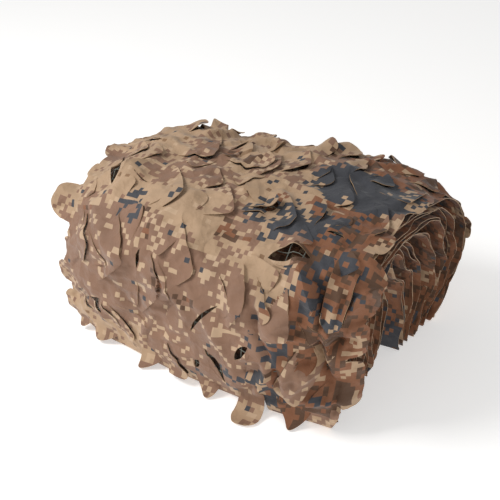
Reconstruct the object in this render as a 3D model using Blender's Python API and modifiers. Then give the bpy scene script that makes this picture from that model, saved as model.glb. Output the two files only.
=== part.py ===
"""Camouflage netting, folded back and forth and doubled over into a bundle.

One leaf-cut cloth. Its layers are arches that lie one inside the other, each joined to the next
by a turn at the foot of a leg. The outermost arch shows its cut leaves, and its near hem is
tucked in flat under the near leg. X runs along the folds, Y from the near leg to the far leg.
"""
import math
import random

import bmesh
import bpy
from mathutils import Vector

# Driving dimensions, in metres
LENGTH = 0.528            # bundle along its folds, between the mean ends of its layers
SHEET = 0.0024            # printed cloth with its carrier net
LAYERS = 14               # arches, outermost to innermost
FLOOR_RISE = SHEET / 2    # middle of cloth that lies on the floor
TURN_RISE = 0.007         # height at which an arch goes into its turn
HEM_TUCK = 0.026          # flat hem folded in under the near leg
HEM_SETBACK = 0.004       # the hem turns in a little behind the foot
HEM_STEPS = 3
TURN_CLEARANCE = 0.0010   # other turns stand this far off the floor, so the hem lies lowest
HEM_CLEARANCE = 0.0012    # between the tucked hem and the turns above it
INNER_RISE = 0.028        # how far the innermost turns of the near leg hang off the floor

# Sizes of the outermost arch at stations along the length, -1 the left end and 1 the right end.
# near and far are Y of its widest places, near_foot and far_foot how far the feet come in from
# there, belly the height of the widest place, top and crown the height and Y of the top.
STATIONS = [
    dict(at=-1.0, near=-0.220, far=0.160, near_foot=0.020, far_foot=0.055,
         belly=0.115, top=0.256, crown=-0.030),
    dict(at=-0.6, near=-0.238, far=0.185, near_foot=0.018, far_foot=0.070,
         belly=0.125, top=0.286, crown=-0.030),
    dict(at=-0.1, near=-0.242, far=0.200, near_foot=0.012, far_foot=0.080,
         belly=0.130, top=0.300, crown=-0.025),
    dict(at=0.5, near=-0.236, far=0.215, near_foot=0.010, far_foot=0.095,
         belly=0.130, top=0.298, crown=-0.025),
    dict(at=1.0, near=-0.218, far=0.222, near_foot=0.008, far_foot=0.095,
         belly=0.125, top=0.276, crown=-0.020),
]
# Sizes of the innermost arch, which is the slot between the legs, at the left and right ends
SLOT = [
    dict(at=-1.0, near=-0.042, far=-0.018, near_foot=-0.004, far_foot=-0.004,
         belly=0.085, top=0.150, crown=-0.030),
    dict(at=1.0, near=-0.062, far=-0.012, near_foot=-0.006, far_foot=-0.004,
         belly=0.100, top=0.190, crown=-0.036),
]
NEAR_POWER = 2.9          # squareness of an arch above the belly, 2 is an ellipse
FAR_POWER = 2.2
LEG_POWER = 1.7           # how a leg draws in below the belly
LEG_SHARE = 0.15          # share of an arch's run that one leg below the belly takes

# Unevenness of the folded cloth
LUMP = 0.006              # broad lumps, shared by all layers
WAVE = 0.0018             # waves of a layer's own
END_RAGGED = 0.010        # layer ends in or out of line

# Cells of the outermost arch, around the section and along the length
ROWS = 42
CELLS = 16
INNER_STEPS = 11          # steps of each other arch around the section

# Cut leaves, in cells. Each takes a square patch of cells, whichever way it heads.
LEAF_LONG = 2
LEAF_ACROSS = 2
ROW_PITCH = 3
CELL_PITCH = 3
LEAF_GAP = 0.09           # slit beside a leaf, in cells
LEAF_NECK = 0.22          # how far the root is drawn in, in cells
LEAF_BELLY = 0.12         # how far the middle stands out, in cells
LEAF_ROUND = 0.42         # how far the corners of the tip are cut back, in cells
LEAF_POINT = 0.10         # how far the middle of the tip stands out, in cells
LEAF_CURL = 1.3           # how the lift grows along the leaf, 1 is straight
LIFT_LOW = 0.004          # tips above the cloth
LIFT_HIGH = 0.012
# Leaves that stand out most, by the lowest row and cell that they take
SPECIAL_LEAVES = [
    dict(row=0, cell=12, heading="down", lift=0.040),
    dict(row=0, cell=9, heading="down", lift=0.030),
    dict(row=0, cell=2, heading="down", lift=0.020),
    dict(row=24, cell=1, heading="left", lift=0.024),
    dict(row=24, cell=5, heading="right", lift=0.022),
    dict(row=9, cell=11, heading="down", lift=0.022),
    dict(row=14, cell=12, heading="right", lift=0.020),
]
# Rounded tongues of the cloth's own cut ends, in cells, by their lowest row
END_TONGUES = [
    dict(end=-1, row=10, reach=0.7),
    dict(end=-1, row=1, reach=0.6),
    dict(end=-1, row=18, reach=0.35),
    dict(end=-1, row=27, reach=0.5),
    dict(end=-1, row=35, reach=0.6),
    dict(end=1, row=3, reach=0.4),
    dict(end=1, row=13, reach=0.6),
    dict(end=1, row=22, reach=0.3),
    dict(end=1, row=33, reach=0.3),
]
TONGUE_SHAPE = [0.25, 0.95, 0.95, 0.25]
HEADINGS = ["right"] * 5 + ["left", "down"]

SAND = (0.52, 0.36, 0.22, 1.0)


def between(rows, at):
    """A row of sizes at a place along the length, eased from station to station."""
    for low, high in zip(rows, rows[1:]):
        if at <= high["at"]:
            break
    share = min(1.0, max(0.0, (at - low["at"]) / (high["at"] - low["at"])))
    if len(rows) > 2:
        share = share * share * (3 - 2 * share)
    return {key: low[key] + (high[key] - low[key]) * share for key in low if key != "at"}


def arch_sizes(depth, at):
    """Sizes of the arch at a depth from 0, outermost, to 1, innermost."""
    outer = between(STATIONS, at)
    inner = between(SLOT, at)
    return {key: outer[key] + (inner[key] - outer[key]) * depth for key in outer}


def arch_point(depth, run, at, foot):
    """Y and Z on an arch, whose run goes from 0 at the near foot to 1 at the far foot."""
    size = arch_sizes(depth, at)
    leg = min(run, 1 - run) / LEG_SHARE
    if leg < 1:
        draw = (1 - leg) ** LEG_POWER
        z = foot + (size["belly"] - foot) * leg
        if run < 0.5:
            return size["near"] + size["near_foot"] * draw, z
        return size["far"] - size["far_foot"] * draw, z
    angle = math.pi * (run - LEG_SHARE) / (1 - 2 * LEG_SHARE)
    power = NEAR_POWER if run < 0.5 else FAR_POWER
    side = size["near"] if run < 0.5 else size["far"]
    across = abs(math.cos(angle)) ** (2 / power)
    rise = math.sin(angle) ** (2 / power)
    y = size["crown"] + (side - size["crown"]) * across
    return y, size["belly"] + (size["top"] - size["belly"]) * rise


def even_runs(count):
    """Runs that part the outermost arch at mid-length into equal lengths of cloth."""
    fine = [step / 600 for step in range(601)]
    places = [arch_point(0, run, 0.0, FLOOR_RISE) for run in fine]
    lengths = [0.0]
    for (ya, za), (yb, zb) in zip(places, places[1:]):
        lengths.append(lengths[-1] + math.hypot(yb - ya, zb - za))
    runs = []
    for step in range(count + 1):
        goal = lengths[-1] * step / count
        index = min(599, next(i for i, length in enumerate(lengths[1:]) if length >= goal - 1e-9))
        share = (goal - lengths[index]) / (lengths[index + 1] - lengths[index])
        runs.append(fine[index] + share / 600)
    return runs


def outward(run, at):
    """The way out of the bundle at a place on its outermost arch, across the length."""
    step = 0.004
    ya, za = arch_point(0, max(0.0, run - step), at, FLOOR_RISE)
    yb, zb = arch_point(0, min(1.0, run + step), at, FLOOR_RISE)
    way = Vector((0.0, za - zb, yb - ya))
    way.normalize()
    return way


def unevenness(layer, run, at):
    """How far a layer stands out of its smooth arch."""
    depth = layer / (LAYERS - 1)
    broad = math.sin(3.1 * at + 9.0 * run) + 0.7 * math.sin(6.7 * at - 14.0 * run + 1.3)
    own = math.sin(5.0 * at + 2.4 * layer) * math.sin(13.0 * run + 1.7 * layer)
    fade = math.sin(math.pi * run) ** 0.5 if 0 < run < 1 else 0.0
    return (LUMP * broad * (1 - 0.7 * depth) + WAVE * own) * fade


def end_shift(layer, run, at):
    """How far a layer's end stands out of line, along the length."""
    seed = 2.1 * layer + (0.7 if at > 0 else 3.9)
    wave = math.sin(seed + 7.0 * run) + 0.6 * math.sin(2.3 * seed - 15.0 * run)
    return END_RAGGED * wave * abs(at) ** 3


def cloth_point(layer, run, at):
    """A place on the cloth's middle surface."""
    depth = layer / (LAYERS - 1)
    foot = TURN_RISE
    if run < 0.5:
        foot += INNER_RISE * max(0.0, 2 * depth - 1) ** 1.5
    y, z = arch_point(depth, run, max(-1.0, min(1.0, at)), foot)
    point = Vector((at * LENGTH / 2 + end_shift(layer, run, at), y, z))
    point += outward(run, at) * unevenness(layer, run, at)
    point.z = max(foot, point.z)
    return point


class Leaf:
    """A cut leaf, placed by its root cell, with its heading and lift."""

    def __init__(self, row, cell, heading, lift):
        self.row = row
        self.cell = cell
        self.heading = heading
        self.lift = lift

    def place(self, along, across):
        """Row and cell of a corner of the leaf's own grid."""
        if self.heading == "right":
            return self.row + across, self.cell + along
        if self.heading == "left":
            return self.row + across, self.cell + LEAF_LONG - along
        return self.row + LEAF_LONG - along, self.cell + across

    def outline(self, along, across, gap):
        """Where a corner of the leaf's grid lies once the leaf is cut to its round tip."""
        side = across - LEAF_ACROSS / 2
        if along == 0:
            return along, across - math.copysign(LEAF_NECK, side) if side else across
        if along == LEAF_LONG:
            if side:
                back = along - LEAF_ROUND - gap
                return back, across - math.copysign(LEAF_ROUND + gap * 0.5, side)
            return along + LEAF_POINT - gap, across
        if side:
            return along, across + math.copysign(LEAF_BELLY - gap, side)
        return along, across


def leaf_layout():
    """Staggered rows of leaves over the outermost arch."""
    chance = random.Random(7)
    leaves = [Leaf(**special) for special in SPECIAL_LEAVES]
    for index, row in enumerate(range(0, ROWS - LEAF_ACROSS, ROW_PITCH)):
        first = 1 if index % 2 == 0 else 2
        for cell in range(first, CELLS - LEAF_LONG, CELL_PITCH):
            heading = chance.choice(HEADINGS)
            lift = LIFT_LOW + (LIFT_HIGH - LIFT_LOW) * chance.random()
            clear = all(abs(leaf.row - row) > LEAF_ACROSS or abs(leaf.cell - cell) > LEAF_LONG
                        for leaf in leaves)
            if clear:
                leaves.append(Leaf(row, cell, heading, lift))
    return leaves


def outer_arch(surface):
    """The outermost arch as a grid of cells with its leaves cut and lifted. Returns its rows."""
    places = {}
    for row in range(ROWS + 1):
        for cell in range(CELLS + 1):
            places[row, cell] = (float(row), float(cell))
    for tongue in END_TONGUES:
        for step, share in enumerate(TONGUE_SHAPE):
            row = float(tongue["row"] + step)
            edge = 0 if tongue["end"] < 0 else CELLS
            places[row, edge] = (row, edge + tongue["end"] * tongue["reach"] * share)
    leaves = leaf_layout()
    steps = [(along, across) for along in range(LEAF_LONG + 1) for across in range(LEAF_ACROSS + 1)]
    owner = {}
    for leaf in leaves:
        for along, across in steps:
            corner = leaf.place(along, across)
            places[corner] = leaf.place(*leaf.outline(along, across, 0.0))
        for row in range(leaf.row, leaf.row + LEAF_ACROSS):
            for cell in range(leaf.cell, leaf.cell + LEAF_LONG):
                owner[row, cell] = leaf

    runs = even_runs(ROWS)

    def stand(row, cell, lift=0.0):
        low = min(ROWS - 1, int(row))
        run = runs[low] + (runs[low + 1] - runs[low]) * (row - low)
        at = 2 * cell / CELLS - 1
        point = cloth_point(0, run, at) + outward(run, at) * lift
        point.z = max(2 * FLOOR_RISE, point.z)
        return point

    corners = {key: surface.verts.new(stand(*place)) for key, place in places.items()}
    lifted = {}
    for leaf in leaves:
        for along, across in steps:
            if along == 0 or (along < LEAF_LONG and 0 < across < LEAF_ACROSS):
                continue
            place = leaf.place(*leaf.outline(along, across, LEAF_GAP))
            lift = leaf.lift * (along / LEAF_LONG) ** LEAF_CURL
            lifted[leaf, leaf.place(along, across)] = surface.verts.new(stand(*place, lift))
        middle = corners[leaf.place(1, 1)]
        middle.co = stand(*leaf.place(1, 1), leaf.lift * (1 / LEAF_LONG) ** LEAF_CURL)
    for row in range(ROWS):
        for cell in range(CELLS):
            leaf = owner.get((row, cell))
            ring = [(row, cell), (row, cell + 1), (row + 1, cell + 1), (row + 1, cell)]
            surface.faces.new([lifted.get((leaf, key), corners[key]) for key in ring])
    return [[corners[row, cell] for cell in range(CELLS + 1)] for row in range(ROWS + 1)]


def join_rows(surface, last, row):
    """Faces between two rows, of which the first may have twice the cells of the second."""
    if len(last) == len(row):
        for a, b, c, d in zip(last, last[1:], row[1:], row):
            surface.faces.new((a, b, c, d))
        return
    for cell, (a, b) in enumerate(zip(row, row[1:])):
        left, middle, right = last[2 * cell:2 * cell + 3]
        surface.faces.new((left, middle, a))
        surface.faces.new((middle, b, a))
        surface.faces.new((middle, right, b))


def turn_rows(layer, end, columns):
    """The two rows on the floor by which an arch turns into the next one."""
    rise = FLOOR_RISE + TURN_CLEARANCE
    if end == 0 and layer == 1:
        rise += SHEET + HEM_CLEARANCE
    rows = []
    for share in (0.25, 0.75):
        row = []
        for at in columns:
            point = cloth_point(layer, end, at).lerp(cloth_point(layer + 1, end, at), share)
            point.z += rise - TURN_RISE
            row.append(point)
        rows.append(row)
    return rows


def folded_cloth():
    """The whole folded cloth as one open surface."""
    surface = bmesh.new()
    fine = [2 * cell / CELLS - 1 for cell in range(CELLS + 1)]
    coarse = fine[::2]
    arch = outer_arch(surface)

    hem = None
    for step in range(HEM_STEPS + 1):
        inward = HEM_TUCK * (1 - step / HEM_STEPS)
        row = []
        for at in fine:
            point = cloth_point(0, 0.0, at)
            row.append(surface.verts.new((point.x, point.y + HEM_SETBACK + inward, FLOOR_RISE)))
        if hem:
            join_rows(surface, hem, row)
        hem = row
    join_rows(surface, hem, arch[0])

    last = arch[-1]
    inner_runs = even_runs(INNER_STEPS)
    for layer in range(1, LAYERS):
        end = layer % 2
        runs = inner_runs[::-1] if end else inner_runs
        rows = turn_rows(layer - 1, end, coarse)
        rows += [[cloth_point(layer, run, at) for at in coarse] for run in runs]
        for points in rows:
            row = [surface.verts.new(point) for point in points]
            join_rows(surface, last, row)
            last = row
    bmesh.ops.recalc_face_normals(surface, faces=surface.faces)
    return surface


def printed_cloth():
    """The cloth's material."""
    material = bpy.data.materials.new("printed_cloth")
    material.use_nodes = True
    shader = material.node_tree.nodes["Principled BSDF"]
    shader.inputs["Base Color"].default_value = SAND
    shader.inputs["Roughness"].default_value = 0.8
    shader.inputs["Metallic"].default_value = 0.0
    return material


def stand_on_floor(thing):
    """Puts the middle of the thing's underside at the origin."""
    evaluated = thing.evaluated_get(bpy.context.evaluated_depsgraph_get())
    corners = [Vector(corner) for corner in evaluated.bound_box]
    low = [min(corner[axis] for corner in corners) for axis in range(3)]
    high = [max(corner[axis] for corner in corners) for axis in range(3)]
    thing.location = (-(low[0] + high[0]) / 2, -(low[1] + high[1]) / 2, -low[2])


def main():
    for thing in list(bpy.data.objects):
        bpy.data.objects.remove(thing)
    collection = bpy.data.collections.new("camouflage_netting")
    bpy.context.scene.collection.children.link(collection)

    surface = folded_cloth()
    mesh = bpy.data.meshes.new("netting")
    surface.to_mesh(mesh)
    surface.free()
    mesh.materials.append(printed_cloth())
    netting = bpy.data.objects.new("netting", mesh)
    collection.objects.link(netting)
    thickness = netting.modifiers.new("thickness", "SOLIDIFY")
    thickness.thickness = SHEET
    thickness.offset = 0.0
    thickness.use_even_offset = True
    stand_on_floor(netting)


main()
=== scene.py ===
import math
import random

import bpy
import bmesh
import numpy as np
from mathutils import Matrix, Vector, kdtree, noise
from mathutils.geometry import delaunay_2d_cdt


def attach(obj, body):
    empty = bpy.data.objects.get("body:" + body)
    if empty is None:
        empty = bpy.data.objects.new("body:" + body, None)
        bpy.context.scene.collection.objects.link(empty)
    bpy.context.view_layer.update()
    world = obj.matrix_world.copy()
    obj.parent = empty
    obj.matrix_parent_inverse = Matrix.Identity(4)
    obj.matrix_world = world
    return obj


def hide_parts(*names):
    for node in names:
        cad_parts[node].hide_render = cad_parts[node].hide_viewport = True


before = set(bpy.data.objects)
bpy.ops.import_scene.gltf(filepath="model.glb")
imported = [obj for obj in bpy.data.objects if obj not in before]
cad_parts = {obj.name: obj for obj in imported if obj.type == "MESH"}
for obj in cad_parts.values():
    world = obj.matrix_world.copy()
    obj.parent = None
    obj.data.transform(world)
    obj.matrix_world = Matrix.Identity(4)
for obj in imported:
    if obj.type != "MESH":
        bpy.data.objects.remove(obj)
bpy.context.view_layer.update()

mm = 0.001


def table(columns, rows):
    # a dictionary for each row, under the names of its columns; a short row leaves out the last ones
    return [dict(zip(columns.split(), row)) for row in rows]


# The folded cloth in metres. x runs along the folds, y from the near leg to the far leg.
bundle = {
    "length": 0.528,          # between the mean ends of the layers
    "layers": 14,             # arches, outermost to innermost
    "turnRise": 7 * mm,       # height at which an arch goes into its turn
    "innerRise": 28 * mm,     # the innermost turns of the near leg hang this far off the floor
    "nearPower": 2.9,         # squareness of an arch above the belly, 2 is an ellipse
    "farPower": 2.2,
    "legPower": 1.7,          # how a leg draws in below the belly
    "legShare": 0.15,         # share of an arch that one leg below the belly takes
    "lump": 6 * mm,           # broad lumps, shared by all layers
    "wave": 1.8 * mm,         # waves of a layer's own
    "endRound": 16 * mm,      # how far the outer layers draw in at the very ends
    "endFrom": 0.66,          # which starts at this share of the way to an end
    "endOver": 0.42,
    "shift": (0.0054, 0.0224),   # puts the middle of the underside at the origin
}
halfLength = bundle["length"] / 2

# Waves in the cloth: radians along, from mid-length to an end, and around, from foot to foot
waveColumns = "along around phase perLayer share"
lumpWaves = table(waveColumns, [(3.1, 9.0, 0.0, 0.0, 1.0), (6.7, -14.0, 1.3, 0.0, 0.7)])

# The outermost arch at stations along the length, -1 the left end and 1 the right end. near and far are y of
# its widest places, nearFoot and farFoot how far the feet come in from there, belly the height of the widest
# place, top and crown the height and y of the top.
archColumns = "at near far nearFoot farFoot belly top crown"
outerStations = table(archColumns, [
    (-1.0, -0.220, 0.160, 0.020, 0.055, 0.115, 0.256, -0.030),
    (-0.6, -0.238, 0.185, 0.018, 0.070, 0.125, 0.286, -0.030),
    (-0.1, -0.242, 0.200, 0.012, 0.080, 0.130, 0.300, -0.025),
    (0.5, -0.236, 0.215, 0.010, 0.095, 0.130, 0.298, -0.025),
    (1.0, -0.218, 0.222, 0.008, 0.095, 0.125, 0.276, -0.020),
])
# The innermost arch, which is the slot between the legs
slotStations = table(archColumns, [
    (-1.0, -0.042, -0.018, -0.004, -0.004, 0.085, 0.150, -0.030),
    (1.0, -0.062, -0.012, -0.006, -0.004, 0.100, 0.190, -0.036),
])


def smooth(share):
    share = np.clip(share, 0.0, 1.0)
    return share * share * (3 - 2 * share)


def waves(rows, at, run, layer=0):
    total = 0
    for row in rows:
        phase = row["along"] * at + row["around"] * run + row["phase"] + row["perLayer"] * layer
        total = total + row["share"] * np.sin(phase)
    return total


def between(rows, at):
    # the sizes of an arch at a place between the stations, eased where there are more than two
    places = [row["at"] for row in rows]
    index = np.clip(np.searchsorted(places, at, side="left") - 1, 0, len(rows) - 2)
    low, high = np.take(places, index), np.take(places, index + 1)
    share = np.clip((at - low) / (high - low), 0.0, 1.0)
    if len(rows) > 2:
        share = smooth(share)
    sizes = {}
    for key in rows[0]:
        column = [row[key] for row in rows]
        sizes[key] = np.take(column, index) * (1 - share) + np.take(column, index + 1) * share
    return sizes


def archPoint(depth, run, at, foot):
    # y and z on an arch: depth 0 is outermost, run goes from 0 at the near foot to 1 at the far foot
    outer, inner = between(outerStations, at), between(slotStations, at)
    size = {key: outer[key] + (inner[key] - outer[key]) * depth for key in outer}
    isNear = run < 0.5
    leg = np.minimum(run, 1 - run) / bundle["legShare"]
    draw = np.clip(1 - leg, 0, 1) ** bundle["legPower"]
    yLeg = np.where(isNear, size["near"] + size["nearFoot"] * draw, size["far"] - size["farFoot"] * draw)
    zLeg = foot + (size["belly"] - foot) * leg
    angle = np.clip(math.pi * (run - bundle["legShare"]) / (1 - 2 * bundle["legShare"]), 0, math.pi)
    power = 2 / np.where(isNear, bundle["nearPower"], bundle["farPower"])
    side = np.where(isNear, size["near"], size["far"])
    yTop = size["crown"] + (side - size["crown"]) * np.abs(np.cos(angle)) ** power
    zTop = size["belly"] + (size["top"] - size["belly"]) * np.abs(np.sin(angle)) ** power
    return np.where(leg < 1, yLeg, yTop), np.where(leg < 1, zLeg, zTop)


def outward(run, at):
    # square to the outermost arch, away from the slot
    step = 0.004
    ya, za = archPoint(0.0, np.maximum(0.0, run - step), at, 0.0)
    yb, zb = archPoint(0.0, np.minimum(1.0, run + step), at, 0.0)
    way = np.stack([np.zeros_like(ya), za - zb, yb - ya], axis=-1)
    return way / np.linalg.norm(way, axis=-1, keepdims=True)


def unevenness(layer, run, at):
    depth = layer / (bundle["layers"] - 1)
    broad = waves(lumpWaves, at, run)
    own = np.sin(5.0 * at + 2.4 * layer) * np.sin(13.0 * run + 1.7 * layer)
    fade = np.sqrt(np.clip(np.sin(math.pi * run), 0, 1))
    return (bundle["lump"] * broad * (1 - 0.7 * depth) + bundle["wave"] * own) * fade


def bunching(point, run, at, depth):
    # the last of each end draws in, so that the bundle has no crisp corner
    draw = (1 - 0.8 * depth) * smooth((np.abs(at) - bundle["endFrom"]) / bundle["endOver"]) ** 1.5
    near = smooth((0.5 - run) / 0.3) * smooth(run / 0.1)
    top = np.sin(math.pi * run) ** 2
    point[..., 1] += bundle["endRound"] * draw * near
    point[..., 2] -= 0.6 * bundle["endRound"] * draw * top
    return point


def clothPoint(layer, run, at, spread=0.0):
    # middle of the cloth on one arch; spread moves it towards a neighbour, in layer spacings
    depth = layer / (bundle["layers"] - 1)
    foot = bundle["turnRise"] + np.where(run < 0.5, bundle["innerRise"] * max(0.0, 2 * depth - 1) ** 1.5, 0.0)
    y, z = archPoint(depth + spread / (bundle["layers"] - 1), run, np.clip(at, -1, 1), foot)
    point = np.stack([at * halfLength, y, z], axis=-1)
    point = point + outward(run, np.clip(at, -1, 1)) * unevenness(layer, run, at)[..., None]
    point = bunching(point, run, at, depth)
    point[..., 2] = np.maximum(foot, point[..., 2])
    point[..., 0] += bundle["shift"][0]
    point[..., 1] += bundle["shift"][1]
    return point


def runTable(layer):
    # run against the length of cloth from the near foot, measured at mid-length
    run = np.linspace(0, 1, 801)
    place = clothPoint(layer, run, np.zeros_like(run))
    length = np.concatenate([[0.0], np.cumsum(np.linalg.norm(np.diff(place, axis=0), axis=1))])
    return run, length


def addObject(name, data):
    added = bpy.data.objects.new(name, data)
    bpy.context.scene.collection.objects.link(added)
    return added


chartOrigin = (0.5, 0.1)      # where u 0 and v 0 of the face cloth lie on the print

# The face cloth is the outermost arch, with its cut leaves.
face = {
    "grid": 4.3 * mm,         # spacing of the mesh
    "edgeStep": 3.6 * mm,     # and of the points of a cut end
    "footPoints": 128,        # points along the hem, and along the far foot
    "slitGap": 2.4 * mm,      # mesh points keep this far from a slit
    "thickness": 0.9 * mm,
    "hem": 33 * mm,           # tucked in flat under the near leg
    "hemDrop": 5.8 * mm,      # from the foot of the arch down to the flat hem
    "hemSetback": 4 * mm,
    "endBack": 4 * mm,        # the cut ends lie this far short of the layers' mean ends
    "endWave": 5 * mm,        # long waves of a cut end
    "scallop": 3 * mm,        # and its small scallops
    "scallopPitch": 58 * mm,
    "footDraw": 20 * mm,      # the corners at the near foot draw in
    "footFade": 40 * mm,      # creases and bends fade out over the last of each leg
    "bendFrom": 12 * mm,      # the ends start to bend this far short of the layers' mean ends
    "overBend": 90 * mm,      # radius on which the right end bends in
    "wrapBend": 34 * mm,      # and on which the near leg's wraps round the ends of the next layers
    "wrapRise": 60 * mm,      # the wrap grows over this height from the foot
    "wrapTop": 270 * mm,      # and fades out from here, v up the cloth
    "wrapFade": 90 * mm,
    "flareBend": 180 * mm,    # radius on which the left end flares out
    "apronBend": 20 * mm,     # a leaf that runs on below the foot starts to bend here
    "creaseHeight": 4.6 * mm,
    "creaseSlim": 2.6,        # of the ridged noise, more is slimmer
    "creaseStretch": 0.45,    # less is longer
    "crumpled": 1.3,          # the right end of the near leg is this much more crumpled
}

leafStyle = {
    "flare": 5 * mm,          # the slit of a tongue turns outward at the root
    "tipRound": 2.3,          # of a tongue: 2 is an ellipse, more is squarer
    "cornerRadius": 11 * mm,  # of a flap's one corner
    "widen": 1.04,            # beyond its root a leaf is this much wider than its hole
    "pitchAlong": 80 * mm,
    "pitchAcross": 56 * mm,
    "firstRow": 20 * mm,      # v of the lowest row
    "startOut": 30 * mm,      # a row starts this far beyond the left end
    "wander": (0.022, 0.020),    # along and across
    "shrinks": (1.0, 0.84, 0.66),   # sizes at which a leaf is tried, until it fits
    "tries": 10,              # at each size
    "apart": 6 * mm,
    "lowest": 30 * mm,        # the rule's leaves stay above this, v up the cloth
    "leftMost": 242 * mm,     # no slit lies further out, where daylight would show through it
    "lift": (2, 7),           # of a tip off the cloth, in mm
    "slide": (2, 7),          # of a tip along the cloth, in mm
    "footTop": 0.15,          # lower on the cloth than this the lift is less
    "footLift": 0.6,
    "skyline": (0.46, 0.64),  # and between these it is more
    "skylineLift": 1.25,
    "curl": (0, 0, 12, 24),   # degrees, of which each leaf draws one
    "roll": (0, 0, -14, 14),
    "tilt": 0.5,
    "seed": 11,
}
# What the cutter repeats: flaps cut along a J, with a long edge, one round corner and a short edge, and a few
# tongues. neck is the root's width against a tongue's, and a flap has none. skew moves the corner sideways.
# Sizes in mm, turns in degrees, as a mean and a spread.
leafKinds = table("share turn long wide neck skew", [
    (0.66, (24, 18), (26, 46), (74, 112), None, (-0.38, -0.14)),
    (0.12, (-20, 14), (56, 76), (46, 58), 1.15, (-0.1, 0.2)),
    (0.10, (186, 14), (32, 44), (70, 88), None, (-0.1, 0.3)),
    (0.12, (-70, 16), (40, 56), (60, 84), None, (-0.25, 0.25)),
])

# Flaps that stand out, in mm on the cloth: u along the folds from mid-length, v up from the near foot.
# Each slit runs from the first point round the corner at the second to the third. chart moves the print.
markedFlaps = table("slit lift slide chart", [
    (((-112, 387), (-44, 310), (-68, 280)), 9, 7),
    (((-7, 379), (39, 316), (2, 296)), 9, 7),
    (((-134, 549), (-68, 424), (-136, 424)), 10, 8),
    (((-135, 268), (-104, 196), (-168, 132)), 8, 6),
    (((-26, 284), (22, 208), (-8, 178)), 7, 6),
    (((-58, 226), (-26, 168), (-82, 98)), 8, 6),
    (((86, 268), (116, 190), (78, 124)), 10, 7),
    (((-44, 84), (10, 10), (-30, 2)), 8, 5),
    (((8, 506), (38, 448), (12, 398)), 9, 7),
    (((90, 396), (138, 336), (114, 304)), 8, 6),
    (((212, 464), (252, 398), (236, 356)), 8, 4),
    (((100, 500), (130, 462), (104, 438)), 6, 5),
    (((140, 562), (204, 512), (160, 486)), 7, 6),
    (((62, 304), (32, 250), (64, 212)), 9, 6),
    (((-214, 262), (-180, 196), (-212, 146)), 8, 5),
    (((-150, 96), (-100, 36), (-128, 14)), 7, 5),
    (((-232, 452), (-186, 410), (-214, 388)), 6, 4),
    (((-238, 34), (-232, 0), (-212, 14)), 4, 3),
    (((16, 30), (54, -10), (66, 10)), 4, 3),
    (((166, 34), (198, -14), (222, 22)), 5, 3, (40, 120)),
    (((-202, 26), (-184, -2), (-148, 14)), 4, 3),
    (((-90, 34), (-82, -12), (-50, 10)), 5, 3),
    (((150, 640), (216, 596), (180, 560)), 6, 5),
    (((60, 600), (120, 566), (96, 532)), 9, 5),
    (((176, 236), (184, 166), (126, 150)), 14, 5, (-330, -60)),
    (((-60, 524), (-22, 462), (-58, 436)), 8, 6),
])
# Tongues that stand out: u and v of the middle of the root, turn is 0 to the right and -90 down the near leg
markedTongues = [
    dict(u=0.238, v=0.302, turn=-86, long=102, wide=38, neck=0.9, lift=13, slide=0, roll=34, skew=-0.2,
         chart=(-6, 300)),
    dict(u=0.226, v=0.156, turn=-112, long=112, wide=46, neck=0.9, lift=12, slide=4, roll=-20,
         chart=(-250, 290)),
    dict(u=0.122, v=0.052, turn=-84, long=80, wide=44, neck=0.95, lift=7, slide=4, chart=(-300, 40)),
    dict(u=-0.206, v=0.560, turn=158, long=34, wide=46, neck=1.0, lift=10, slide=6, curl=30, roll=-30),
    dict(u=-0.158, v=0.580, turn=96, long=30, wide=38, neck=1.2, lift=8, slide=0, curl=46, roll=40, skew=0.4),
    dict(u=-0.084, v=0.590, turn=70, long=32, wide=48, neck=1.1, lift=8, slide=0, curl=30, roll=20),
]

# Openings that the bunched cloth leaves: a slit pulled apart. u and v in metres, sizes in mm, lip is how far
# one side stands off, and the other a little less.
openings = table("u v turn long gape lip", [
    (0.160, 0.276, 24, 60, 30, 12),
    (0.068, 0.330, 20, 40, 6, 3),
    (-0.190, 0.342, 96, 62, 26, 5),
    (0.032, 0.050, 64, 24, 13),
    (-0.212, 0.060, -24, 38, 10),
    (-0.180, 0.078, -48, 38, 11),
    (0.048, 0.142, 52, 80, 9),
    (0.066, 0.062, -58, 66, 16),
    (0.116, 0.108, 54, 42, 15),
    (0.200, 0.340, 10, 26, 7),
    (-0.076, 0.204, 80, 36, 8),
])
openingBow = 0.06             # how far an opening's slit bows, as a share of its length
openingReach = 12 * mm        # how far into the cloth its pull is felt

# Folds pressed into the cloth, from one place to another in metres, width and height in mm
creases = table("u0 v0 u1 v1 wide high", [
    (-0.250, 0.300, -0.080, 0.180, 20, 5),
    (-0.100, 0.300, 0.020, 0.130, 18, 5),
    (-0.180, 0.200, -0.060, 0.060, 18, -5),
    (0.000, 0.220, 0.110, 0.060, 18, 6),
    (0.150, 0.330, 0.260, 0.120, 18, 7),
    (0.200, 0.300, 0.262, 0.020, 14, -7),
    (0.232, 0.300, 0.250, 0.010, 12, 5),
    (0.120, 0.240, 0.190, 0.010, 14, -6),
    (0.180, 0.140, 0.120, 0.010, 14, 6),
    (-0.260, 0.160, -0.140, 0.030, 16, 5),
    (-0.230, 0.460, 0.000, 0.430, 20, 5),
    (-0.040, 0.520, 0.240, 0.490, 18, 5),
    (0.060, 0.420, 0.180, 0.300, 16, 5),
    (-0.230, 0.500, -0.190, 0.590, 26, 11),
    (-0.150, 0.490, -0.110, 0.590, 18, 12),
    (-0.060, 0.500, -0.020, 0.600, 20, 10),
    (0.050, 0.500, 0.100, 0.600, 20, 10),
    (0.160, 0.560, 0.240, 0.640, 24, 8),
    (-0.240, 0.700, 0.200, 0.640, 24, 5),
    (-0.200, 0.820, 0.240, 0.860, 22, 5),
])
creaseMore = {"count": 110, "turn": (42, 26), "long": (50, 130), "wide": (9, 16), "high": (2, 5), "seed": 4}
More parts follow.
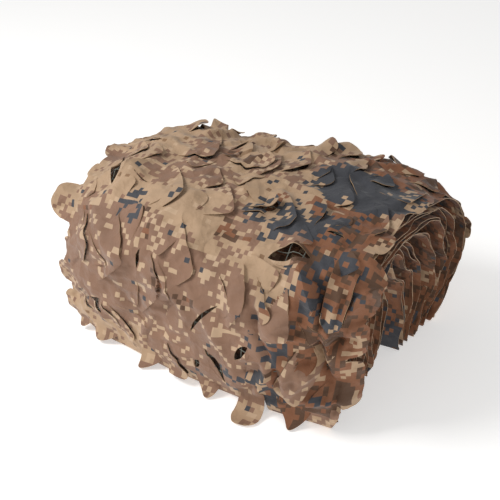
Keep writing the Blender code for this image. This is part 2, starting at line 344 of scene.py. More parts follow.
# Waves of the face cloth, scale is how many there are to a metre
faceWaves = table("high scale seed", [(2.6 * mm, 9.0, 3.3), (2.4 * mm, 27.0, 8.1)])
# And ridges, turn is in radians and share is of the crease height
faceRidges = table("turn scale share", [
    (0.8, 17.0, 1.0), (-0.7, 14.0, 0.8), (0.2, 30.0, 0.5), (1.4, 38.0, 0.35)])

# Rounded tongues of the cloth's own cut ends: end -1 left or 1 right, v of the middle in metres, sizes in mm
endTongues = table("end v wide reach", [
    (-1, 0.040, 44, 16),
    (-1, 0.108, 56, 22),
    (-1, 0.172, 38, 10),
    (-1, 0.266, 84, 42),
    (-1, 0.350, 40, 6),
    (-1, 0.430, 60, 16),
    (-1, 0.600, 58, 20),
    (-1, 0.700, 44, 8),
    (-1, 0.790, 56, 18),
    (1, 0.090, 90, 30),
    (1, 0.180, 80, 38),
    (1, 0.270, 110, 44),
    (1, 0.366, 60, 12),
    (1, 0.500, 74, 14),
    (1, 0.740, 58, 12),
])

runOfFace, lengthOfFace = runTable(0)
faceLong = float(lengthOfFace[-1])


def endEdge(v, end):
    # how far the cut end lies from mid-length
    seed = 0.7 if end > 0 else 3.9
    run = v / faceLong
    edge = halfLength - face["endBack"] + face["endWave"] * (
        np.sin(seed + 7 * run) + 0.6 * np.sin(2.3 * seed - 15 * run))
    edge = edge + face["scallop"] * np.abs(np.sin(math.pi * v / face["scallopPitch"] + seed)) ** 0.6
    edge = edge - face["footDraw"] * np.clip(1 - (v + 10 * mm) / (60 * mm), 0, 1) ** 1.5
    for tongue in endTongues:
        if tongue["end"] == end:
            off = np.abs(v - tongue["v"]) / (tongue["wide"] * mm / 2)
            edge = edge + tongue["reach"] * mm * np.clip(1 - off ** 3, 0, 1) ** 0.5
    return edge


def rough(places, scale, seed):
    # soft noise about 0, one value for each place
    return np.array([noise.noise(Vector((p[0] * scale, p[1] * scale, seed))) for p in places])


def moreCreases():
    chance = random.Random(creaseMore["seed"])
    rows = []
    for _ in range(creaseMore["count"]):
        turn = math.radians(chance.gauss(*creaseMore["turn"]))
        half = chance.uniform(*creaseMore["long"]) / 2 * mm
        u, v = chance.uniform(-halfLength, halfLength), chance.uniform(0.02, faceLong)
        along, up = half * math.cos(turn), half * math.sin(turn)
        wide = chance.uniform(*creaseMore["wide"])
        high = chance.uniform(*creaseMore["high"]) * chance.choice([-1, 1])
        rows.append(dict(u0=u - along, v0=v - up, u1=u + along, v1=v + up, wide=wide, high=high))
    return rows


def creaseRise(crease, places):
    start = np.array([crease["u0"], crease["v0"]])
    way = np.array([crease["u1"], crease["v1"]]) - start
    long = np.linalg.norm(way)
    way = way / long
    along = (places - start) @ way
    across = (places - start) @ np.array([-way[1], way[0]])
    across = across + 4 * mm * np.sin(along / (26 * mm) + 40 * crease["u0"])     # no crease is quite straight
    ends = smooth(along / (0.3 * long)) * smooth((long - along) / (0.3 * long))
    return crease["high"] * mm * ends * np.exp(-(across / (crease["wide"] * mm / 2)) ** 2)


def faceRelief(u, v):
    # how far the cloth stands off its smooth arch
    places = np.stack([u, v], axis=1)
    relief = sum(2 * row["high"] * rough(places, row["scale"], row["seed"]) for row in faceWaves)
    for row in faceRidges:
        cosine, sine = math.cos(row["turn"]), math.sin(row["turn"])
        turned = places @ np.array([[cosine, -sine], [sine, cosine]]) * [face["creaseStretch"], 1.0]
        ridged = 1 - np.abs(rough(turned, row["scale"], 5.5 + row["scale"])) * face["creaseSlim"]
        relief += row["share"] * face["creaseHeight"] * np.clip(ridged, 0, 1) ** 2
    for crease in creases + moreCreases():
        relief += creaseRise(crease, places)
    relief *= 1 + face["crumpled"] * smooth((u - 0.08) / 0.1) * (1 - smooth((v - 0.25) / 0.1))
    return relief * smooth(v / face["footFade"]) * smooth((faceLong - v) / face["footFade"])


class FaceSurface:
    # the arch on a fine grid of u and v, read between its points
    def __init__(self):
        self.step = 3 * mm
        self.us = np.arange(-halfLength - 60 * mm, halfLength + 60 * mm, self.step)
        self.vs = np.arange(0.0, faceLong + self.step, self.step)
        u, v = np.meshgrid(self.us, self.vs, indexing="ij")
        run = np.interp(np.clip(v, 0, faceLong), lengthOfFace, runOfFace)
        plain = clothPoint(0, run, u / halfLength)
        self.normal = np.cross(np.gradient(plain, axis=0), np.gradient(plain, axis=1))
        self.normal /= np.linalg.norm(self.normal, axis=-1, keepdims=True)
        if self.normal[len(self.us) // 2, len(self.vs) // 2, 2] < 0:
            self.normal = -self.normal
        relief = faceRelief(u.ravel(), v.ravel()).reshape(u.shape)
        self.place = plain + self.normal * relief[..., None]

    def read(self, values, u, v):
        i = np.clip((u - self.us[0]) / self.step, 0, len(self.us) - 1.001)
        j = np.clip((v - self.vs[0]) / self.step, 0, len(self.vs) - 1.001)
        a, b = i.astype(int), j.astype(int)
        s, t = (i - a)[..., None], (j - b)[..., None]
        low = values[a, b] * (1 - s) + values[a + 1, b] * s
        high = values[a, b + 1] * (1 - s) + values[a + 1, b + 1] * s
        return low * (1 - t) + high * t

    def sheet(self, u, v):
        # the cloth with its bent ends; what runs on below the foot is the hem, tucked in under the near leg
        place, normal = self.read(self.place, u, v), self.read(self.normal, u, v)
        over = np.clip(np.abs(u) - halfLength + face["bendFrom"], 0, None)
        wrap = smooth(v / face["wrapRise"]) * (1 - smooth((v - face["wrapTop"]) / face["wrapFade"]))
        bend = np.where(u > 0, 1 / face["overBend"] + wrap * (1 / face["wrapBend"] - 1 / face["overBend"]),
                        1 / face["flareBend"])
        angle = over * bend
        out = np.where(u > 0, -1.0, 1.0) * smooth(v / face["footFade"]) * (1 - np.cos(angle)) / bend
        place = place + normal * out[..., None]
        place[..., 0] -= np.sign(u) * (over - np.sin(angle) / bend)
        below = np.clip(-v, 0, None)
        drop = np.minimum(below, face["hemDrop"])
        place[..., 2] -= drop
        place[..., 1] += face["hemSetback"] * drop / face["hemDrop"] + (below - drop)
        return place, normal

    def apron(self, u, v, lift):
        # a leaf that runs on below the foot bends out onto the floor instead
        bend = face["apronBend"]
        place, normal = self.sheet(u, np.maximum(v, bend))
        place = place + normal * lift[..., None]
        radius = place[..., 2] - 2 * mm - 0.4 * lift
        below = np.clip(bend - v, 0, None)
        angle = np.clip(below / np.maximum(radius, mm), 0, math.pi / 2)
        out = radius * (1 - np.cos(angle)) + np.clip(below - radius * math.pi / 2, 0, None)
        place[..., 1] -= out
        place[..., 2] -= radius * np.sin(angle)
        return place


class Leaf:
    def __init__(self, u, v, turn, long, wide, lift, slide, neck=None, curl=0, roll=0, skew=0.0, tilt=0.0,
                 chart=(0, 0)):
        self.root = np.array([u, v])
        angle = math.radians(turn)
        self.ahead = np.array([math.cos(angle), math.sin(angle)])
        self.aside = np.array([-math.sin(angle), math.cos(angle)])
        self.long, self.wide, self.lift, self.slide = long * mm, wide * mm, lift * mm, slide * mm
        self.curl, self.roll = math.radians(curl), math.radians(roll)
        self.neck, self.skew, self.tilt = neck, skew, tilt
        self.chart = np.array(chart) * mm
        self.outline = self.cut()

    def cut(self):
        # the slit from one side of the root round the tip to the other
        half = self.wide / 2
        if self.neck is None:
            return self.root + self.flapLine() @ np.array([self.ahead, self.aside])
        tip = 0.48 * self.wide
        shoulder = self.long - tip
        along = np.linspace(0, shoulder, max(6, int(shoulder / (4 * mm))), endpoint=False)
        width = half * (self.neck + (1 - self.neck) * smooth(along / (0.6 * self.long)))
        angle = np.linspace(0, math.pi / 2, 11)
        power = 2 / leafStyle["tipRound"]
        along = np.concatenate([along, shoulder + tip * np.sin(angle) ** power])
        width = np.concatenate([width, half * np.cos(angle).clip(0, 1) ** power])
        width = width + leafStyle["flare"] * np.clip(1 - along / (0.16 * self.long), 0, 1) ** 2
        along = np.concatenate([along, along[-2::-1]])
        aside = np.concatenate([width, -width[-2::-1]])
        aside = aside + self.skew * self.wide * (along / self.long) ** 2
        return self.root + along[:, None] * self.ahead + aside[:, None] * self.aside

    def flapLine(self):
        # along and aside on a flap's slit: two gently bowed edges and the round corner between them
        start, end = np.array([0.0, self.wide / 2]), np.array([0.0, -self.wide / 2])
        corner = np.array([self.long, self.skew * self.wide])
        line = []
        for place, bow in ((start, 0.035), (end, -0.02)):
            way = corner - place
            far = np.linalg.norm(way)
            last = 1 - min(leafStyle["cornerRadius"], 0.45 * far) / far
            share = np.linspace(0, last, max(4, int(far / (4.5 * mm))))
            side = np.array([way[1], -way[0]]) * -bow
            line.append(place + share[:, None] * way + np.sin(math.pi * share)[:, None] * side)
        share = np.linspace(0, 1, 7)[1:-1, None]
        bend = line[0][-1] * (1 - share) ** 2 + 2 * corner * share * (1 - share) + line[1][-1] * share ** 2
        return np.concatenate([line[0], bend, line[1][::-1]])

    def local(self, places):
        return (places - self.root) @ self.ahead, (places - self.root) @ self.aside

    def holds(self, places):
        # which places lie inside the outline
        inside = np.zeros(len(places), bool)
        ring = np.concatenate([self.outline, self.outline[:1]])
        for (xa, ya), (xb, yb) in zip(ring, ring[1:]):
            crosses = (ya > places[:, 1]) != (yb > places[:, 1])
            height = (yb - ya) if yb != ya else 1e-12
            inside ^= crosses & (places[:, 0] < (xb - xa) * (places[:, 1] - ya) / height + xa)
        return inside

    def lay(self, surface, places):
        # lifts the leaf off the cloth, slides it forward and curls it
        along, aside = self.local(places)
        share = np.clip(along / self.long, 0, 1.05)
        side = aside / (self.wide / 2)
        rise = self.lift * (1.3 * share - 0.45 * share ** 2)
        rise = rise + self.lift * self.tilt * side * share
        rise = np.maximum(rise, 1.3 * mm * smooth(share / 0.15))
        forward = along + self.slide * share ** 2
        if self.curl:
            forward = self.long / self.curl * np.sin(self.curl * share) + self.slide * share ** 2
            rise = rise + self.long / self.curl * (1 - np.cos(self.curl * share))
        sideways = aside * (1 + (leafStyle["widen"] - 1) * smooth(share / 0.5))
        if self.roll:
            bend = self.roll / (self.wide / 2) * smooth(share / 0.7)
            bend = np.where(np.abs(bend) < 1e-4, 1e-4, bend)
            rise = rise + np.sign(self.roll) * (1 - np.cos(bend * aside)) / np.abs(bend)
            sideways = np.sin(bend * aside) / bend
        flat = self.root + forward[:, None] * self.ahead + sideways[:, None] * self.aside
        return surface.apron(flat[:, 0], flat[:, 1], rise)


def flapFrom(slit, lift, slide, chart=(0, 0)):
    # a flap from the first point, the corner and the last point of its slit
    start, corner, end = [np.array(point, float) for point in slit]
    root, way = (start + end) / 2, start - end
    wide = np.linalg.norm(way)
    ahead = np.array([way[1], -way[0]]) / wide
    if (corner - root) @ ahead < 0:
        return flapFrom((slit[2], slit[1], slit[0]), lift, slide, chart)
    turn = math.degrees(math.atan2(ahead[1], ahead[0]))
    return Leaf(root[0] * mm, root[1] * mm, turn, (corner - root) @ ahead, wide, lift, slide,
                skew=(corner - root) @ way / wide ** 2, chart=chart)


def openingFrame(row):
    # the middle of an opening and the ways along and across it
    angle = math.radians(row["turn"])
    way = np.array([math.cos(angle), math.sin(angle)])
    return np.array([row["u"], row["v"]]), way, np.array([-way[1], way[0]])


def openingLine(row):
    middle, way, side = openingFrame(row)
    along = np.linspace(-0.5, 0.5, max(5, int(row["long"] / 4)))
    bow = openingBow * (1 - (2 * along) ** 2)
    return middle + (along[:, None] * way + bow[:, None] * side) * row["long"] * mm


def fits(line, others, low, high):
    # whether a slit lies within the cloth and clear of the other slits
    u, v = line[:, 0], line[:, 1]
    if v.min() < low or v.max() > high or (u > endEdge(v, 1) - leafStyle["apart"]).any():
        return False
    if (u < np.maximum(-endEdge(v, -1) + 2 * leafStyle["apart"], -leafStyle["leftMost"])).any():
        return False
    gaps = (np.linalg.norm(line[:, None] - other[None], axis=2).min() for other in others)
    return all(gap >= leafStyle["apart"] for gap in gaps)


def liftShare(v):
    if v < leafStyle["footTop"]:
        return leafStyle["footLift"]
    return leafStyle["skylineLift"] if leafStyle["skyline"][0] < v < leafStyle["skyline"][1] else 1.0


def drawLeaf(chance, u, v, shrink):
    along, across = leafStyle["wander"]
    u += chance.uniform(-along, along)
    v += chance.uniform(-across, across)
    kind = chance.choices(leafKinds, [kind["share"] for kind in leafKinds])[0]
    return Leaf(u, v, chance.gauss(*kind["turn"]), chance.uniform(*kind["long"]) * shrink,
                chance.uniform(*kind["wide"]) * shrink, chance.uniform(*leafStyle["lift"]) * liftShare(v),
                chance.uniform(*leafStyle["slide"]), neck=kind["neck"], curl=chance.choice(leafStyle["curl"]),
                roll=chance.choice(leafStyle["roll"]), skew=chance.uniform(*kind["skew"]),
                tilt=chance.uniform(-leafStyle["tilt"], leafStyle["tilt"]))


def placeLeaves():
    # the leaves that stand out come first, and the rule fills the rest of the cloth
    chance = random.Random(leafStyle["seed"])
    leaves, taken = [], [openingLine(row) for row in openings]
    low, high = -face["hem"] + 5 * mm, faceLong - 12 * mm
    for leaf in [flapFrom(**row) for row in markedFlaps] + [Leaf(**row) for row in markedTongues]:
        if fits(leaf.outline, taken, low, high):
            leaves.append(leaf)
            taken.append(leaf.outline)
        else:
            print("left out a marked leaf at", leaf.root)
    pitch = leafStyle["pitchAlong"]
    for index, up in enumerate(np.arange(leafStyle["firstRow"], faceLong, leafStyle["pitchAcross"])):
        for place in np.arange(-halfLength - leafStyle["startOut"], halfLength, pitch):
            for attempt in range(leafStyle["tries"] * len(leafStyle["shrinks"])):
                shrink = leafStyle["shrinks"][attempt // leafStyle["tries"]]
                leaf = drawLeaf(chance, place + (index % 2) * pitch / 2, up, shrink)
                if fits(leaf.outline, taken, leafStyle["lowest"], high):
                    leaves.append(leaf)
                    taken.append(leaf.outline)
                    break
    return leaves


def facePoints(leaves):
    # outline, slits and a staggered grid between them, with the edges that must stay
    points, edges = [], []

    def add(line, closed=False):
        first = len(points)
        points.extend(line)
        edges.extend((first + i, first + i + 1) for i in range(len(line) - 1))
        if closed:
            edges.append((first + len(line) - 1, first))
        return range(first, first + len(line))

    vs = np.linspace(-face["hem"], faceLong, int((faceLong + face["hem"]) / face["edgeStep"]))
    right = np.stack([endEdge(vs, 1), vs], axis=1)
    left = np.stack([-endEdge(vs, -1), vs], axis=1)
    across = np.linspace(0, 1, face["footPoints"] + 2)[1:-1, None]
    top = right[-1] * (1 - across) + left[-1] * across
    bottom = left[0] * (1 - across) + right[0] * across
    add(np.concatenate([right, top, left[::-1], bottom]), closed=True)
    slits = [add(leaf.outline) for leaf in leaves]
    slits += [add(openingLine(row)) for row in openings]

    tree = kdtree.KDTree(len(points))
    for index, point in enumerate(points):
        tree.insert((point[0], point[1], 0.0), index)
    tree.balance()
    step = face["grid"]
    for index, v in enumerate(np.arange(-face["hem"] + step, faceLong - step / 2, step * math.sqrt(0.75))):
        us = np.arange(-halfLength - 0.05 + (index % 2) * step / 2, halfLength + 0.05, step)
        inside = (us < endEdge(v, 1) - 2 * mm) & (us > -endEdge(v, -1) + 2 * mm)
        for u in us[inside]:
            if tree.find((u, v, 0.0))[2] > face["slitGap"]:
                points.append((u, v))
    return points, edges, slits


def cutFlat(leaves):
    # the flat cloth as triangles, split open along its slits
    points, edges, slits = facePoints(leaves)
    flat, kept, triangles, _, fromEdges, _ = delaunay_2d_cdt(
        [Vector(point) for point in points], edges, [], 0, 1e-6)
    flat, triangles = np.array(flat), np.array(triangles)
    middle = flat[triangles].mean(axis=1)
    inside = (middle[:, 0] < endEdge(middle[:, 1], 1)) & (middle[:, 0] > -endEdge(middle[:, 1], -1))
    slitPoints = set(i for slit in slits for i in slit)

    mesh = bmesh.new()
    verts = [mesh.verts.new((u, v, 0.0)) for u, v in flat]
    for triangle in triangles[inside]:
        mesh.faces.new([verts[i] for i in triangle])
    wanted = []
    for (a, b), source in zip(kept, fromEdges):
        edge = mesh.edges.get((verts[a], verts[b])) if source and a in slitPoints and b in slitPoints else None
        if edge and len(edge.link_faces) == 2:
            wanted.append(edge)
    bmesh.ops.split_edges(mesh, edges=wanted)
    bmesh.ops.delete(mesh, geom=[vert for vert in mesh.verts if not vert.link_faces], context="VERTS")
    mesh.verts.index_update()
    mesh.faces.index_update()
    bmesh.ops.recalc_face_normals(mesh, faces=mesh.faces)
    return mesh


def pullOpen(flat, lean):
    # moves the two sides of each opening apart and lifts them
    moved, raised = flat.copy(), np.zeros(len(flat))
    for row in openings:
        centre, way, side = openingFrame(row)
        along = (flat - centre) @ way / (row["long"] * mm / 2)
        across = (flat - centre) @ side
        which = np.sign((lean - centre) @ side - openingBow * row["long"] * mm * np.clip(1 - along ** 2, 0, 1))
        pull = np.clip(1 - along ** 2, 0, 1) * np.exp(-np.abs(across) / openingReach)
        moved += side * (which * row["gape"] / 2 * mm * pull)[:, None]
        raised += np.where(which < 0, 1.0, 0.6) * row.get("lip", 0) * mm * pull
    return moved, raised


def buildFace(surface, leaves):
    mesh = cutFlat(leaves)
    flat = np.array([vert.co.to_2d() for vert in mesh.verts])
    corners = np.array([[vert.index for vert in f.verts] for f in mesh.faces])
    middle = flat[corners].mean(axis=1)
    # the mean of the faces round a vertex tells on which side of a slit it lies
    lean = np.zeros_like(flat)
    count = np.zeros(len(flat))
    for column in range(3):
        np.add.at(lean, corners[:, column], middle)
        np.add.at(count, corners[:, column], 1)
    lean /= count[:, None]

    moved, raised = pullOpen(flat, lean)
    place, normal = surface.sheet(moved[:, 0], moved[:, 1])
    place += normal * raised[:, None]
    shift = np.zeros((len(corners), 2))
    for leaf in leaves:
        near = np.abs(middle - leaf.root).max(axis=1) < leaf.long * 1.3
        candidates = np.nonzero(near)[0]
        own = candidates[leaf.holds(middle[candidates])]
        ids = np.unique(corners[own])
        along, _ = leaf.local(flat[ids])
        ids = ids[along > 1e-5]
        place[ids] = leaf.lay(surface, flat[ids])
        shift[own] = leaf.chart
    for vert, co in zip(mesh.verts, place):
        vert.co = co
    chart = mesh.loops.layers.uv.new("clothMap")
    for f in mesh.faces:
        for loop in f.loops:
            loop[chart].uv = flat[loop.vert.index] + shift[f.index] + chartOrigin
    bmesh.ops.recalc_face_normals(mesh, faces=mesh.faces)
    mesh.faces.ensure_lookup_table()
    top = max(mesh.faces, key=lambda f: f.calc_center_median().z)
    if top.normal.z < 0:
        bmesh.ops.reverse_faces(mesh, faces=mesh.faces)
    data = bpy.data.meshes.new("nettingFace")
    mesh.to_mesh(data)
    mesh.free()
    data.shade_smooth()
    return addObject("nettingFace", data)


# The folds are the other arches and the turns that join them.
folds = {
    "rowStep": 7 * mm,
    "endColumns": 20,         # close columns over the last of each end, where the folds show
    "endShare": 0.30,
    "midColumns": 7,
    "pair": 0.40,             # joined layers draw together by this share of their spacing
    "drift": 0.10,            # and all wander by this share
    "stagger": 9 * mm,        # pairs of layers end out of line
    "own": 2.5 * mm,          # and so do the two layers of a pair
    "slant": 10 * mm,         # the innermost layer's far leg ends this far back
    "farOut": 6 * mm,         # and the outermost one's this far out
    "farFoot": 14 * mm,       # but for its foot, which is this far back again
    "nearBack": 12 * mm,      # the innermost layer's near leg ends this far back
    "leftShare": 0.4,         # the left end steps less than the right
    "kink": 7 * mm,           # depth of the cut edge's corners
    "kinkPitch": 84 * mm,
    "slotFar": 24 * mm,       # the slot opens this much at the right end
    "slotNear": 8 * mm,
    "swing": 5 * mm,          # waves that all layers share near the ends
    "buckle": 9 * mm,         # and crumples with sharp ridges
    "ridges": (3.6, 7.0, 0.16),   # of the crumples: along, around and from layer to layer
    "turnStep": 2 * mm,       # cloth between the rows of a turn
    "turnShares": (0.0, 0.08, 0.22, 0.4, 0.6, 0.78, 0.92),
    "turnLow": 2.2 * mm,      # a turn's lowest row is this far off the floor
    "hemRoom": 3.6 * mm,      # and the one above the tucked hem this much more
    "thickness": 0.8 * mm,
}
swingWaves = table(waveColumns, [(2.0, 17.0, 0.0, 0.35, 1.0), (-3.0, 31.0, 1.0, 0.5, 0.6)])


def foldColumns():
    close = np.linspace(1.0, 1 - folds["endShare"], folds["endColumns"])
    mid = np.linspace(1 - folds["endShare"], -1 + folds["endShare"], folds["midColumns"] + 2)[1:-1]
    return np.concatenate([-close, mid[::-1], close[::-1]])


def foldEnd(layer, run, v, end):
    # how far a layer's cut end stands out: layers joined at a foot end together there
    depth = layer / (bundle["layers"] - 1)
    isFar = smooth((run - 0.5) / 0.3)
    far = (-folds["slant"] * depth - folds["farFoot"] * (1 - depth) * smooth((run - 0.8) / 0.2)
           + folds["farOut"] * (1 - depth))
    out = far * isFar - folds["nearBack"] * depth * (1 - isFar) * smooth(run / 0.4)
    out *= 1.0 if end > 0 else folds["leftShare"]
    out -= 0.8 * face["footDraw"] * (1 - smooth(run / 0.09))
    share = smooth((run - 0.3) / 0.4)
    for pair, share in ((layer // 2, share), ((layer + 1) // 2, 1 - share)):
        chance = random.Random(pair * 11 + (5 if end > 0 else 0))
        step = chance.uniform(-1, 1)
        out += share * folds["stagger"] * (step + 0.45 * math.sin(v * 9 + chance.uniform(0, 6.28)))
    chance = random.Random(layer * 7 + (3 if end > 0 else 0))
    phase, phaseTwo = chance.uniform(0, 6.28), chance.uniform(0, 6.28)
    turns = v / folds["kinkPitch"]
    kink = abs((turns + phase) % 1.0 - 0.5) * 2 + 0.4 * abs(2.3 * turns % 1.0 - 0.5)
    size = 0.65 + 0.35 * math.sin(v * 11 + phaseTwo)
    return out + folds["own"] * chance.uniform(-1, 1) + folds["kink"] * (kink * size - 0.5)


def foldRow(layer, run, at, v):
    # near legs are joined 1 to 2, 3 to 4 and so on, far legs 0 to 1, 2 to 3
    isFar = smooth((run - 0.3) / 0.4)
    draw = folds["pair"] * (isFar * (1 if layer % 2 == 0 else -1) + (1 - isFar) * (1 if layer % 2 else -1))
    if layer == 0:
        draw = 0.0
    draw += folds["drift"] * math.sin(1.9 * layer + 5.0 * run)
    spread = draw * smooth((np.abs(at) - 0.25) / 0.5)
    point = clothPoint(layer, np.full_like(at, run), at, spread=spread)
    ends = smooth((np.abs(at) - 0.45) / 0.55)
    swing = folds["swing"] * waves(swingWaves, at, run, layer) * ends * math.sin(math.pi * run) ** 0.5
    along, around, through = folds["ridges"]
    ridges = [noise.noise(Vector((along * place, around * run, through * layer))) for place in at]
    buckle = folds["buckle"] * (0.5 - 2.2 * np.abs(ridges)) * ends * math.sin(math.pi * run) ** 0.3
    point += outward(np.full_like(at, run), at) * (swing + buckle)[:, None]
    slot = folds["slotFar"] * smooth((run - 0.6) / 0.3) - folds["slotNear"] * smooth((0.4 - run) / 0.3)
    point[:, 1] += (layer / (bundle["layers"] - 1)) ** 2 * smooth((at - 0.3) / 0.7) * slot
    point[:, 2] = np.maximum(point[:, 2], bundle["turnRise"])
    reach = np.abs(at) ** 9
    point[:, 0] += np.where(at > 0, foldEnd(layer, run, v, 1), -foldEnd(layer, run, v, -1)) * reach
    return point


def buildFolds(name, layers, vStart):
    # each layer is the turn that leads to it and then its arch, from near to far or back
    at = foldColumns()
    rows, charts = [], []
    v = vStart
    for layer in layers:
        end = layer % 2
        run, length = runTable(layer)
        steps = max(8, int(length[-1] / folds["rowStep"]))
        runs = np.interp(np.linspace(0, length[-1], steps + 1), length, run)
        runs = runs[::-1] if end else runs
        before = foldRow(layer - 1, float(end), at, v)
        after = foldRow(layer, float(end), at, v)
        depth = bundle["turnRise"] - folds["turnLow"] - (folds["hemRoom"] if end == 0 and layer == 1 else 0)
        for share in folds["turnShares"]:
            row = before * (1 - share) + after * share
            row[:, 2] -= depth * math.sin(math.pi * share) ** 0.7
            v += folds["turnStep"]
            rows.append(row)
            charts.append(v)
        for run in runs:
            rows.append(foldRow(layer, float(run), at, v))
            v += length[-1] / steps
            charts.append(v)
    rows = np.array(rows)
    count = len(at)
    ids = np.arange(len(rows) * count).reshape(len(rows), count)
    quads = np.stack([ids[:-1, :-1], ids[:-1, 1:], ids[1:, 1:], ids[1:, :-1]], axis=-1).reshape(-1, 4)
    data = bpy.data.meshes.new(name)
    data.from_pydata(rows.reshape(-1, 3).tolist(), [], quads.tolist())
    chart = data.uv_layers.new(name="clothMap")
    charts = np.repeat(np.array(charts)[:, None], count, axis=1)
    flat = np.stack([rows[..., 0] + chartOrigin[0], charts], axis=-1).reshape(-1, 2)
    chart.data.foreach_set("uv", flat[quads.ravel()].ravel())
    data.shade_smooth()
    return addObject(name, data), v


# The carrier net is thin cords under the face cloth, seen through the openings.
carrier = {
    "mesh": 21 * mm,          # side of a net square
    "cord": 0.8 * mm,         # radius
    "sides": 5,
    "below": 3.2 * mm,        # under the face cloth
    "inset": 0.02,            # from the ends of the cloth
    "footGap": 0.03,          # and from its feet
    "wander": 3 * mm,         # of a cord from its straight line
}


def buildCarrier(surface):
    low, high = carrier["footGap"], faceLong - carrier["footGap"]
    left, right = -halfLength + carrier["inset"], halfLength - carrier["inset"]
    lines = []
    for along in np.arange(left, right, carrier["mesh"]):
        v = np.linspace(low, high, 90)
        lines.append(np.stack([along + carrier["wander"] * np.sin(v * 40 + along * 90), v], axis=1))
    for up in np.arange(low, high, carrier["mesh"]):
        u = np.linspace(left, right, 56)
        lines.append(np.stack([u, up + carrier["wander"] * np.sin(u * 37 + up * 70)], axis=1))
    edges, first = [], 0
    for line in lines:
        edges.extend((first + i, first + i + 1) for i in range(len(line) - 1))
        first += len(line)
    places = np.concatenate(lines)
    point, normal = surface.sheet(places[:, 0], places[:, 1])
    point -= normal * carrier["below"]
    data = bpy.data.meshes.new("carrierNet")
    data.from_pydata(point.tolist(), edges, [])
    return addObject("carrierNet", data)


def addNode(tree, kind, inputs=(), **settings):
    # inputs go by name or in order, and each is a socket to link or a value
    node = tree.nodes.new(kind)
    for key, value in settings.items():
        setattr(node, key, value)
    for key, value in inputs.items() if isinstance(inputs, dict) else enumerate(inputs):
        socket = node.inputs[key]
        if isinstance(value, bpy.types.NodeSocket):
            tree.links.new(value, socket)
        else:
            socket.default_value = value
    return node


def cordTree():
    # edges become cords of the given radius
    tree = bpy.data.node_groups.new("cordsFromEdges", "GeometryNodeTree")
    tree.interface.new_socket("Geometry", in_out="INPUT", socket_type="NodeSocketGeometry")
    for name, kind in (("Cord Radius", "NodeSocketFloat"), ("Cord Sides", "NodeSocketInt"),
                       ("Finish", "NodeSocketMaterial")):
        tree.interface.new_socket(name, in_out="INPUT", socket_type=kind)
    tree.interface.new_socket("Geometry", in_out="OUTPUT", socket_type="NodeSocketGeometry")
    source = addNode(tree, "NodeGroupInput").outputs
    curve = addNode(tree, "GeometryNodeMeshToCurve", {"Mesh": source["Geometry"]})
    ring = addNode(tree, "GeometryNodeCurvePrimitiveCircle",
                   {"Resolution": source["Cord Sides"], "Radius": source["Cord Radius"]})
    cords = addNode(tree, "GeometryNodeCurveToMesh", {
        "Curve": curve.outputs["Curve"], "Profile Curve": ring.outputs["Curve"], "Fill Caps": True})
    real = addNode(tree, "GeometryNodeRealizeInstances", {"Geometry": cords.outputs["Mesh"]})
    dressed = addNode(tree, "GeometryNodeSetMaterial", {
        "Geometry": real.outputs["Geometry"], "Material": source["Finish"]})
    addNode(tree, "NodeGroupOutput", {"Geometry": dressed.outputs["Geometry"]})
    return tree


def keepResult(piece, modifier):
    # the evaluated shape becomes the piece's plain mesh
    piece.data.update()
    evaluated = piece.evaluated_get(bpy.context.evaluated_depsgraph_get())
    mesh = bpy.data.meshes.new_from_object(evaluated)
    piece.modifiers.remove(modifier)
    piece.data = mesh
    return piece


def growNodes(piece, tree, values):
    modifier = piece.modifiers.new("grow", "NODES")
    modifier.node_group = tree
    for item in tree.interface.items_tree:
        if item.item_type == "SOCKET" and item.in_out == "INPUT" and item.name in values:
            modifier[item.identifier] = values[item.name]
    return keepResult(piece, modifier)


def linear(code):
    channels = [int(code[i:i + 2], 16) / 255 for i in (1, 3, 5)]
    return tuple(c / 12.92 if c <= 0.04045 else ((c + 0.055) / 1.055) ** 2.4 for c in channels) + (1.0,)


def perMetre(size):
    # scale of a noise whose patches have this size: a whole number of them to a metre
    return round(1 / size)


def newMaterial(name, roughness):
    material = bpy.data.materials.new(name)
    material.use_nodes = True
    shader = material.node_tree.nodes["Principled BSDF"]
    shader.inputs["Roughness"].default_value = roughness
    return material, material.node_tree, shader


printStyle = {
    "pixel": 7.3 * mm,
    "sand": "#B39577",
    "cream": "#BFA284",
    "mauve": "#8B6A55",
    "brown": "#8A6A4C",
    "rust": "#86583C",
    "darkBrown": "#5E4330",
    "slate": "#404146",
}
# Each is painted over the ones above it, where cloud noise and a share of each square's own noise, its grain,
# together pass a level. cloud is a patch's size in mm. gather names the zones that add to it, and within the
# layer that it stays inside. A lone square touches no other by a side, and a pair is two squares wide.
printLayers = table("name colour cloud seed grain level gather within squares", [
    ("brown", "brown", 41.7, 29.0, 1.6, 2.06, None, None, "any"),
    ("mauve", "mauve", 90.9, 3.0, 0.24, 0.69, "mauve", None, "any"),
    ("creamLone", "cream", 45.5, 17.0, 0.8, 1.12, None, "mauve", "lone"),
    ("creamPair", "cream", 29.4, 23.0, 0.5, 1.03, None, "mauve", "pair"),
    ("rust", "rust", 100, 9.0, 0.09, 0.76, "rust", None, "any"),
    ("sandOnRust", "sand", 41.7, 61.0, 0.40, 0.88, None, "rust", "any"),
    ("darkOnRust", "darkBrown", 35.7, 53.0, 0.30, 0.69, None, "rust", "any"),
    ("slate", "slate", 38.5, 41.0, 0.36, 1.0, "slate", None, "any"),
])


